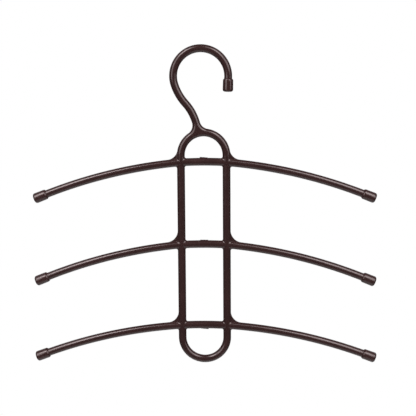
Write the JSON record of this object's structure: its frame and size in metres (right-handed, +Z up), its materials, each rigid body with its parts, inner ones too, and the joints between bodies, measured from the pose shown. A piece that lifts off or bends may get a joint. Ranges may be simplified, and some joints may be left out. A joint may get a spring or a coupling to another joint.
{
  "type": "tiered clothes hanger",
  "caption": "Moulded round-rod clothes hanger: an open hook above a long loop that carries bowed tiers one below another, with push-on caps on every free end.",
  "frame": {"origin": "the hook's seat: the highest point inside the hook, where it bears on a rail", "axes": "+Z up, +X to the right along the tiers and towards the hook's open side, +Y to the back, along the rail"},
  "size_m": [0.362, 0.0108, 0.3342],
  "materials": {
    "frame_plastic": "glossy dark brown moulding",
    "cap_plastic": "glossy dark brown, a little softer sheen"
  },
  "bodies": {
    "root": {"hanger_frame": "frame_plastic", "hook_cap": "cap_plastic", "tier_1_left_cap": "cap_plastic", "tier_1_right_cap": "cap_plastic", "tier_2_left_cap": "cap_plastic", "tier_2_right_cap": "cap_plastic", "tier_3_left_cap": "cap_plastic", "tier_3_right_cap": "cap_plastic"}
  },
  "joints": []
}
